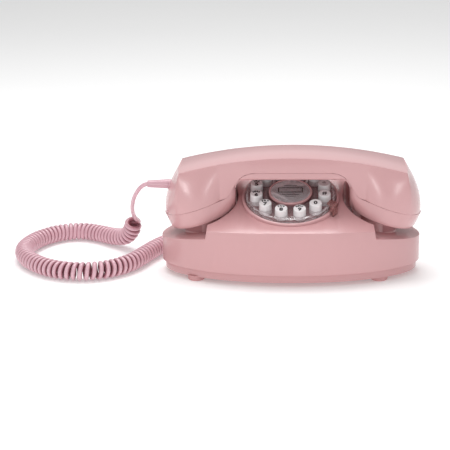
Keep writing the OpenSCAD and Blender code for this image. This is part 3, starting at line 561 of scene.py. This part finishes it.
def smooth_route(route, steps):
    """The same smooth points along a route as the CAD's tubes have, in metres."""
    points = []
    last = len(route) - 1
    corners = np.array(route, float)
    for i in range(last):
        p, q = corners[max(i - 1, 0)], corners[i]
        r, s = corners[i + 1], corners[min(i + 2, last)]
        for j in range(steps + (i == last - 1)):
            t = j / steps
            bend = 2 * p - 5 * q + 4 * r - s
            twist = 3 * q - p - 3 * r + s
            points.append(0.5 * (2 * q + (r - p) * t + bend * t * t + twist * t**3))
    return np.array(points) * MM


def steps_along(points):
    """The distances from each point of a line to the next."""
    return np.linalg.norm(np.diff(points, axis=0), axis=1)


def reach_along(points):
    """How far along a line each of its points lies."""
    return np.concatenate([[0], np.cumsum(steps_along(points))])


def between(at, reach, ways):
    """Points or directions at the given distances, from those known at reach."""
    return np.stack([np.interp(at, reach, ways[:, k]) for k in range(3)], axis=1)


def evenly(points, spacing):
    """Points at equal distances along a line of points."""
    reach = reach_along(points)
    count = max(2, int(round(reach[-1] / spacing)) + 1)
    return between(np.linspace(0, reach[-1], count), reach, points)


def carried_frames(points):
    """Two directions square to a line of points and to each other, carried along it without twisting."""
    along = np.gradient(points, axis=0)
    along /= np.linalg.norm(along, axis=1)[:, None]
    side = np.zeros_like(along)
    u = np.array([1.0, 0.2, 0.1])
    for i, t in enumerate(along):
        u = u - t * np.dot(u, t)
        u /= np.linalg.norm(u)
        side[i] = u
    return side, np.cross(along, side)


def tube_mesh(name, points, radii, sides, finish):
    """A round tube along the points, closed at both ends."""
    side, up = carried_frames(points)
    angles = np.linspace(0, 2 * math.pi, sides, endpoint=False)
    rings = [
        p + r * (math.cos(a) * s + math.sin(a) * v)
        for p, r, s, v in zip(points, radii, side, up)
        for a in angles
    ]
    faces = []
    for i in range(len(points) - 1):
        here, ahead = i * sides, (i + 1) * sides
        for k in range(sides):
            following = (k + 1) % sides
            faces.append((here + k, here + following, ahead + following, ahead + k))
    faces.append(tuple(range(sides - 1, -1, -1)))
    faces.append(tuple(range(len(rings) - sides, len(rings))))
    piece = new_piece(name, rings, faces, finish)
    alone(piece)
    bpy.ops.object.shade_smooth_by_angle(angle=math.radians(50))
    return piece


# -- handset cord --------------------------------------------------------------------------

LEAD_RADIUS = 1.75 * MM
CORD_RADIUS = 2.0 * MM
# Where along the wire the lead's radius grows to the coil's.
GROWS_BETWEEN = [0.06, 0.09]
CORD_SIDES = 12

COIL_RADIUS = 5.8 * MM
TURN_POINTS = 18
AXIS_SPACING = 0.5 * MM
# Distances from the coil's axis, in coil radii, over which the wire counts as leaving the coil.
LEAVES_COIL = (1.1, 1.5)
# How far apart the turns lie along the coil, as distances from its mouth and pitches in millimetres.
COIL_PITCHES = [
    (0, 4.3), (60, 4.4), (68, 4.8), (78, 4.5), (110, 4.8), (205, 4.9), (230, 5.0), (262, 5.2), (290, 5.1),
    (322, 4.9), (350, 4.7), (390, 4.5),
]

# Points left off at the joins between the lead, the coil's wire and the tail.
LEAD_CUT = 4
WIRE_START_CUT = 3
WIRE_END_CUT = 54
TAIL_CUT = 25
# How strongly a join keeps each side's direction, and the points beside it that are eased with it.
JOIN_PULL = 1.3
JOIN_NEAR = 8
# Smooth points from one point of a route to the next, and how many rounds each stretch is eased.
STRAIGHT_STEPS, COIL_STEPS = 6, 8
LEAD_EASING, TAIL_EASING, JOIN_EASING = 12, 6, 8

LEAD_ROUTE = [
    (-119.32, -3.22, 74.78), (-120.42, -3.22, 74.78), (-121.52, -3.22, 74.78), (-123.4, -2.8, 73.2),
    (-126.6, -0.6, 70.1), (-129.4, 3, 65.7), (-132.1, 8, 60.4), (-134.1, 14, 54.2), (-135.5, 21, 47.9),
    (-136, 28.5, 41.9), (-135.7, 35.5, 36.5), (-134.6, 41.5, 31.8), (-133.3, 45.5, 28.7), (-132.2, 48, 25.8),
]
COIL_ROUTE = [
    (-138, 47, 28), (-140, 51, 20), (-146, 57, 12.5), (-157, 67, 9), (-171, 79, 8.1), (-186, 87, 8.1),
    (-201, 86, 8.1), (-215, 76, 8.1), (-227, 56, 8.1), (-232, 30, 8.1), (-226, 5, 8.1), (-210, -18, 8.1),
    (-192, -31, 8.1), (-174, -35, 8.1), (-158, -32, 8.1), (-145, -23, 8.1), (-134, -8, 8.1), (-125, 14, 8.1),
    (-116, 37, 8.1), (-104, 57, 8.1), (-90, 69, 8.1),
]
TAIL_ROUTE = [
    (-90, 69, 8.1), (-84, 73.5, 6.2), (-77, 77, 3.5), (-69, 78.5, 2.2), (-60, 77, 2.2), (-53, 73.4, 3.6),
    (-49, 69.5, 7.2), (-46.8, 65.8, 12.6), (-45.6, 62, 17.8), (-45, 57.5, 20.9), (-45, 53, 21.6),
    (-45, 50.6, 21.6),
]


def relax(points, rounds):
    """The line with its bends eased, and its ends in place."""
    eased = points.copy()
    for _ in range(rounds):
        eased[1:-1] = eased[1:-1] * 0.5 + (eased[:-2] + eased[2:]) * 0.25
    return eased


def straight_stretch(route, rounds):
    """The centreline of a stretch that isn't coiled."""
    return relax(evenly(smooth_route(route, STRAIGHT_STEPS), MM), rounds)


def coil_turns(route, axis):
    """The wire's centreline round the coil's axis."""
    side, up = carried_frames(axis)
    reach = np.linspace(0, reach_along(route)[-1], len(axis))
    distances, pitches = np.array(COIL_PITCHES).T * MM
    turned = np.concatenate([[0], np.cumsum(np.diff(reach) / np.interp(reach[1:], distances, pitches))])
    turns = np.arange(0, turned[-1], 1 / TURN_POINTS)
    here = np.interp(turns, turned, reach)
    centre, out, over = [between(here, reach, way) for way in (axis, side, up)]
    angle = 2 * math.pi * turns[:, None]
    return centre + COIL_RADIUS * (np.cos(angle) * out - np.sin(angle) * over)


def heading(here, ahead):
    """The direction from one point to another."""
    return (ahead - here) / np.linalg.norm(ahead - here)


def join(first, second):
    """One line from two, with a smooth curve between the end of the first and the start of the second."""
    start, end = first[-1], second[0]
    leave, arrive = heading(first[-2], start), heading(end, second[1])
    gap = np.linalg.norm(end - start)
    t = np.linspace(0, 1, int(gap / MM) + 2)[1:-1, None]
    curve = (
        start * (2 * t**3 - 3 * t**2 + 1)
        + leave * gap * JOIN_PULL * (t**3 - 2 * t**2 + t)
        + end * (3 * t**2 - 2 * t**3)
        + arrive * gap * JOIN_PULL * (t**3 - t**2)
    )
    middle = np.concatenate([first[-JOIN_NEAR:], curve, second[:JOIN_NEAR]])
    eased = relax(evenly(middle, MM), JOIN_EASING)
    return np.concatenate([first[:-JOIN_NEAR], eased, second[JOIN_NEAR:]])


def mark_turn_shade(cord, path, axis):
    """Give each point of the cord 1 where it faces out of the coil or isn't coiled, less between turns,
    where the coil's finish paints shade.
    """
    apart = path[:, None, :] - axis[None, :, :]
    near = np.linalg.norm(apart, axis=2).argmin(axis=1)
    out = path - axis[near]
    reach = np.linalg.norm(out, axis=1)
    leaving, left = [share * COIL_RADIUS for share in LEAVES_COIL]
    straight = np.clip((reach - leaving) / (left - leaving), 0, 1)[:, None]
    sideways = corners_of(cord).reshape(len(path), -1, 3) - path[:, None, :]
    sideways /= np.linalg.norm(sideways, axis=2)[:, :, None]
    facing_for_shade = np.einsum("ijk,ik->ij", sideways, out / reach[:, None])
    mark = cord.data.attributes.new("facing_for_shade", "FLOAT", "POINT")
    mark.data.foreach_set("value", (facing_for_shade * (1 - straight) + straight).ravel())


def make_cord():
    lead = straight_stretch(LEAD_ROUTE, LEAD_EASING)
    tail = straight_stretch(TAIL_ROUTE, TAIL_EASING)
    route = smooth_route(COIL_ROUTE, COIL_STEPS)
    axis = evenly(route, AXIS_SPACING)
    wire = coil_turns(route, axis)[WIRE_START_CUT:-WIRE_END_CUT]
    path = join(join(lead[:-LEAD_CUT], wire), tail[TAIL_CUT:])
    radii = np.interp(reach_along(path), GROWS_BETWEEN, [LEAD_RADIUS, CORD_RADIUS])
    cord = tube_mesh("handset_cord", path, radii, CORD_SIDES, "coil_vinyl")
    mark_turn_shade(cord, path, axis)
    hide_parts("cord_lead", "cord_coil", "cord_tail")
    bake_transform(cord)


# -- handset's upper shell -----------------------------------------------------------------

# The handset's sizes, in millimetres and in its own frame: the handle's half length and half widths,
# the arch of its top, and the seam's half width and height on the handle.
HAND_HALF = 93.1
HAND_HALF_W = 21.5
HAND_END_W = 23.6
HAND_TOP = 41.5
HAND_ARCH_R = 365.0
HAND_SEAM_W = 22.6
HAND_SEAM = 29.4
# How far each end bows out in the middle, and how far the shell's edge reaches past the seam.
END_BOW = 1.2
SKIRT = 3.0
# The shell's wall, the rounding of its edges and, in degrees, how sharp an edge is that gets rounded.
SHELL_WALL = 2.0
SHELL_ROUND = 0.8
SHELL_SHARP = 38
# Where the handset lies on the base, and how far it leans.
HAND_SHIFT = 1.8
HAND_FRONT = 2.5
HAND_Z = 61.0
HAND_LEAN = math.radians(3)
# A cup's distance from the middle, its radius and the tilt of its ring.
CUP_X = 78.3
CUP_R = 30.0
CUP_TILT = math.radians(18.5)

# The seam from the front: level to SEAM_FLAT, and then a curve to the cup's ring at SEAM_JOIN. The curve
# leaves towards SEAM_LEAVE_X and arrives from SEAM_ARRIVE_X, and the ring's line ends beyond the cup.
SEAM_FLAT = 30.0
SEAM_JOIN = 55.5
SEAM_LEAVE_X = 49.0
SEAM_ARRIVE_X = 47.5
SEAM_ARRIVE_RISE = 3.5
SEAM_END_X = 130.0
# The seam from above: it draws in by NECK_PINCH at the neck, and then widens into the cup.
NECK_PINCH = 0.9
PINCH_X = 36.0
PINCH_RUN = 10.0
WIDEN_X = 47.0

# Turns round a cup, in degrees from the side towards the handle: where the handle's side meets it, the
# outer corner, and the run over which the side turns round and swells.
TURN_JOIN = 51.0
CORNER_TURN = 128.0
ROUND_TURN = 50.0
ROUND_RUN = 60.0
SWELL_RUN = 120.0
SIDE_SWELL = 0.8
CUP_SWELL = 3.6
# The upper shell stops this far above the seam.
SEAM_GAP = 0.12

# The shell's mesh: rows down its side, and columns along the handle, over the join, round a cup and
# across the end.
SIDE_ROWS = 20
HANDLE_END = 50.0
HANDLE_COLUMNS, JOIN_COLUMNS, CUP_COLUMNS, END_COLUMNS = 36, 6, 30, 17


def in_hand(points):
    """From the handset's own frame, in millimetres, to the object's, in metres."""
    x, y, z = np.asarray(points, float).T
    c, s = math.cos(HAND_LEAN), math.sin(HAND_LEAN)
    return np.stack([x + HAND_SHIFT, y * c - z * s - HAND_FRONT, y * s + z * c + HAND_Z], axis=1) * MM


def ease(t):
    """0 up to 0, 1 from 1 on, and smooth between them."""
    t = min(1.0, max(0.0, t))
    return t * t * (3 - 2 * t)


def ring_z(x):
    """The height of the cup's tilted ring."""
    return (CUP_X - x) * math.tan(CUP_TILT)


def seam_points():
    """The seam seen from the front: level on the handle, then a curve down to the cup's tilted ring."""
    a, b, c, d = np.array(
        [
            (SEAM_FLAT, HAND_SEAM),
            (SEAM_LEAVE_X, HAND_SEAM),
            (SEAM_ARRIVE_X, ring_z(SEAM_JOIN) + SEAM_ARRIVE_RISE),
            (SEAM_JOIN, ring_z(SEAM_JOIN)),
        ]
    )
    t = np.linspace(0, 1, 33)[:, None]
    curve = a * (1 - t) ** 3 + 3 * b * t * (1 - t) ** 2 + 3 * c * t**2 * (1 - t) + d * t**3
    return np.concatenate([[(0, HAND_SEAM)], curve, [(SEAM_END_X, ring_z(SEAM_END_X))]])


SEAM_X, SEAM_Z = seam_points().T


def seam_z(x):
    return float(np.interp(abs(x), SEAM_X, SEAM_Z))


def top_z(x):
    """The height of the handset's arched top."""
    return HAND_TOP - HAND_ARCH_R + math.sqrt(HAND_ARCH_R**2 - x * x)


def top_width(x):
    """Half the width of the handset's top."""
    return HAND_HALF_W + (HAND_END_W - HAND_HALF_W) * (x / HAND_HALF) ** 2


def turn_x(turn):
    """How far from the handset's middle the cup's ring is at a turn, in radians."""
    return CUP_X - CUP_R * math.cos(turn) * math.cos(CUP_TILT)


JOIN_X = turn_x(math.radians(TURN_JOIN))


def seam_width(x):
    """Half the width of the seam on the handle and the neck."""
    widening = CUP_R * math.sin(math.radians(TURN_JOIN)) - HAND_SEAM_W + NECK_PINCH
    pinched = HAND_SEAM_W - NECK_PINCH * ease((x - PINCH_X) / PINCH_RUN)
    return pinched + widening * ease((x - WIDEN_X) / (JOIN_X - WIDEN_X))


def handle_edges(x):
    """The handle's side at x: its top and bottom points, its outward direction and its swell."""
    top = (x, -top_width(x), top_z(x))
    low = (x, -seam_width(x), seam_z(x) - SKIRT)
    return top, low, (0.0, -1.0, 0.0), SIDE_SWELL


def cup_edges(turn):
    """A cup's side at a turn in degrees: its top and bottom points, outward direction and swell."""
    a = math.radians(turn)
    if turn > CORNER_TURN:
        y = HAND_END_W * (180 - turn) / (180 - CORNER_TURN)
        top = (HAND_HALF + END_BOW * (1 - (y / HAND_END_W) ** 2), -y, top_z(HAND_HALF))
    else:
        x = min(turn_x(a), HAND_HALF)
        top = (x, -top_width(x), top_z(x))
    c, s = math.cos(CUP_TILT), math.sin(CUP_TILT)
    low = (turn_x(a) - SKIRT * s, -CUP_R * math.sin(a), CUP_R * math.cos(a) * s - SKIRT * c)
    turned = ease((turn - ROUND_TURN) / ROUND_RUN)
    out = (-math.cos(a) * turned, -math.sin(a) * turned - (1 - turned), 0.0)
    return top, low, out, SIDE_SWELL + CUP_SWELL * ease((turn - ROUND_TURN) / SWELL_RUN)


def side_line(edges):
    """One line down the shell's side, from the top's edge to just above the seam."""
    top, low, out = [np.array(way) for way in edges[:3]]
    swell = edges[3]

    def at(v):
        return top + (low - top) * v + out * swell * 4 * v * (1 - v)

    # Six rounds find where the line meets the seam.
    end = 1.0
    for _ in range(6):
        end = (top[2] - seam_z(at(end)[0]) - SEAM_GAP) / (top[2] - low[2])
    return [at(end * k / SIDE_ROWS) for k in range(SIDE_ROWS + 1)]


def upper_shell():
    handle = list(np.linspace(0, HANDLE_END, HANDLE_COLUMNS))
    handle += [HANDLE_END + (JOIN_X - HANDLE_END) * k / JOIN_COLUMNS for k in range(1, JOIN_COLUMNS)]
    cup = list(np.linspace(TURN_JOIN, CORNER_TURN, CUP_COLUMNS))
    cup += list(np.linspace(CORNER_TURN, 180, END_COLUMNS)[1:])
    edges = [handle_edges(x) for x in handle] + [cup_edges(turn) for turn in cup]
    # The right half and its mirror image make the front, and the front and its mirror image the loop.
    right = np.array([side_line(edge) for edge in edges])
    front = np.concatenate([right[:0:-1] * (-1, 1, 1), right])
    loop = np.concatenate([front, front[-2:0:-1] * (1, -1, 1)])
    columns = len(loop)
    width = SIDE_ROWS + 1
    faces = []
    for i in range(columns):
        here, ahead = i * width, (i + 1) % columns * width
        faces += [(here + k, here + k + 1, ahead + k + 1, ahead + k) for k in range(SIDE_ROWS)]
    # The top is closed by strips from the front edge to the back one, with a triangle at each end.
    across = [(i, (columns - i) % columns) for i in range(len(front))]
    for (a, b), (c, d) in zip(across, across[1:]):
        faces.append(tuple(dict.fromkeys([a * width, c * width, d * width, b * width])))
    piece = new_piece("handset_upper_shell", in_hand(loop.reshape(-1, 3)), faces, "pink_shell")
    with editing(piece):
        bpy.ops.mesh.normals_make_consistent(inside=False)
    wall = piece.modifiers.new("wall", "SOLIDIFY")
    wall.thickness = SHELL_WALL * MM
    wall.offset = -1
    bpy.ops.object.modifier_apply(modifier=wall.name)
    soften(piece, SHELL_ROUND * MM, SHELL_SHARP)
    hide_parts("handset_shell")
    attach(piece, "handset")


# -- rounded mouldings ---------------------------------------------------------------------

# Each moulding's CAD node, name, finish, material slot, body and the rounding of its edges in millimetres.
MOULDINGS = [
    ("housing", "base_housing", "housing_shell", "pink_plastic", "base", 0.9),
    ("base_plate", "base_tray", "pink_plate", "base_plastic", "base", 0.5),
    ("dial_bezel", "dial_rim", "pink_shell", "pink_plastic", "base", 0.3),
    ("handset_inner_shell", "handset_lower_shell", "pink_shell", "pink_plastic", "handset", 0.3),
]


def moulded_copy(node, name, finish, material_slot, body, rounding):
    """A CAD node's shape with its moulded edges rounded."""
    piece = soften(cad_copy(node, name, finish), rounding * MM)
    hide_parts(node)
    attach(piece, body)


# -- key legends ---------------------------------------------------------------------------

# The keys' circle, the height of their tops on the dial and the dish in them, in millimetres.
KEY_CIRCLE_R = 29.0
KEY_TOP = 9.55
KEY_DISH = 0.15
KEY_DISH_R = 4.4
# How far the print stands out of a key's top, and as far into it.
PRINT_T = 0.05

# The keys in turn round the dial, and the first one's angle and the step to the next in degrees.
KEYS = ["9", "0", "hash", "star", "1", "2", "3", "4", "5", "6", "7", "8"]
FIRST_KEY_ANGLE = -75
KEY_ANGLE_STEP = 30
LETTERS = {"2": "ABC", "3": "DEF", "4": "GHI", "5": "JKL", "6": "MNO", "7": "PRS", "8": "TUV", "9": "WXY"}

# Printed heights in millimetres, and how much the strokes are thickened. A figure with letters sits lower,
# and its letters stand on an arc over it, each leaning by a share of its angle on the arc.
SIGNS = {"hash": ("#", 4.6), "star": ("*", 3.6)}
SIGN_WEIGHT = 0.03
FIGURE_HEIGHT = 4.7
FIGURE_WEIGHT = 0.055
FIGURE_DROP = 1.7
LETTER_HEIGHT = 2.3
LETTER_WEIGHT = 0.09
LETTER_ARC_R = 3.3
LETTER_ARC_DROP = 0.5
LETTER_SPREAD = math.radians(38)
LETTER_LEAN = 0.6


def printed_sign(body, height, at, weight, turn=0.0):
    """One printed character: its height and middle on the key's top in millimetres, its turn in radians."""
    deselect_all()
    bpy.ops.object.text_add(location=(0, 0, 0))
    sign = bpy.context.object
    sign.data.body = body
    sign.data.resolution_u = 4
    sign.data.offset = weight
    sign.data.extrude = 0.1
    bpy.ops.object.convert(target="MESH")
    points = corners_of(sign)
    low, high = points.min(0), points.max(0)
    points = (points - (low + high) / 2) * height / (high[1] - low[1])
    c, s = math.cos(turn), math.sin(turn)
    x = points[:, 0] * c - points[:, 1] * s + at[0]
    y = points[:, 0] * s + points[:, 1] * c + at[1]
    # A corner's height says for now only whether it is on the print's top, 1, or under it, 0.
    move_corners(sign, zip(x, y, points[:, 2] > 0))
    return sign


def key_signs(key):
    """The characters printed on a key."""
    if key in SIGNS:
        body, height = SIGNS[key]
        return [printed_sign(body, height, (0, 0), SIGN_WEIGHT)]
    letters = LETTERS.get(key, "")
    drop = FIGURE_DROP if letters else 0
    signs = [printed_sign(key, FIGURE_HEIGHT, (0, -drop), FIGURE_WEIGHT)]
    for k, letter in enumerate(letters):
        lean = ((len(letters) - 1) / 2 - k) * LETTER_SPREAD
        at = (LETTER_ARC_R * math.sin(-lean), LETTER_ARC_R * math.cos(lean) - LETTER_ARC_DROP)
        signs.append(printed_sign(letter, LETTER_HEIGHT, at, LETTER_WEIGHT, lean * LETTER_LEAN))
    return signs


def key_legend(key, angle):
    """A key's characters as one thin piece that follows the dish in its top."""
    signs = key_signs(key)
    legend = signs[0]
    alone(legend)
    for sign in signs[1:]:
        sign.select_set(True)
    if len(signs) > 1:
        bpy.ops.object.join()
    legend.name = "legend_" + key
    points = corners_of(legend)
    dish = KEY_DISH * np.hypot(points[:, 0], points[:, 1]) / KEY_DISH_R
    height = KEY_TOP + dish - PRINT_T + 2 * PRINT_T * (points[:, 2] > 0.5)
    middle = KEY_CIRCLE_R * np.array([math.cos(angle), math.sin(angle)])
    move_corners(legend, on_dial(np.column_stack([points[:, :2] + middle, height])))
    with editing(legend):
        bpy.ops.mesh.remove_doubles(threshold=0.002 * MM)
        bpy.ops.mesh.normals_make_consistent(inside=False)
    wear(legend, "legend_ink")
    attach(legend, "key_" + key + "_body")


# -- nodes carried over from the CAD -------------------------------------------------------

CAD_FINISHES = {
    "pink_shell": ["card_holder"],
    "pink_foot": ["rubber_feet"],
    "cord_vinyl": ["strain_relief"],
    "white_key": ["key_" + key for key in KEYS],
    "dial_face": ["dial_plate"],
    "card_stock": ["number_card"],
    "card_cover": ["card_window"],
    "clear_wheel": ["finger_wheel"],
    "clear_part": ["hook_plungers", "cord_plug"],
    "stop_metal": ["finger_stop"],
    "steel": [
        "housing_screws", "key_board_screws", "main_board_screws", "handset_screws", "hook_spring",
        "ballast_weights", "handset_weight",
    ],
    "green_board": ["key_board", "main_board"],
    "dark_moulding": [
        "key_mat", "hook_switch", "ringer", "ringer_switch", "tone_switch", "receiver", "transmitter",
    ],
    "pale_moulding": ["hook_yoke", "handset_jack", "line_jack", "ringer_switch_knob", "tone_switch_knob"],
}


# -- the scene -----------------------------------------------------------------------------

FLOOR_SIZE = 6

add_camera()
add_studio()
make_cord()
upper_shell()
for moulding in MOULDINGS:
    moulded_copy(*moulding)
for place, key in enumerate(KEYS):
    key_legend(key, math.radians(FIRST_KEY_ANGLE + KEY_ANGLE_STEP * place))
for finish, nodes in CAD_FINISHES.items():
    for node in nodes:
        wear(bpy.data.objects[node], finish)

deselect_all()
bpy.ops.mesh.primitive_plane_add(size=FLOOR_SIZE, location=(0, 0, 0))
floor = bpy.context.object
floor.name = "floor"
wear(floor, "paper_floor")
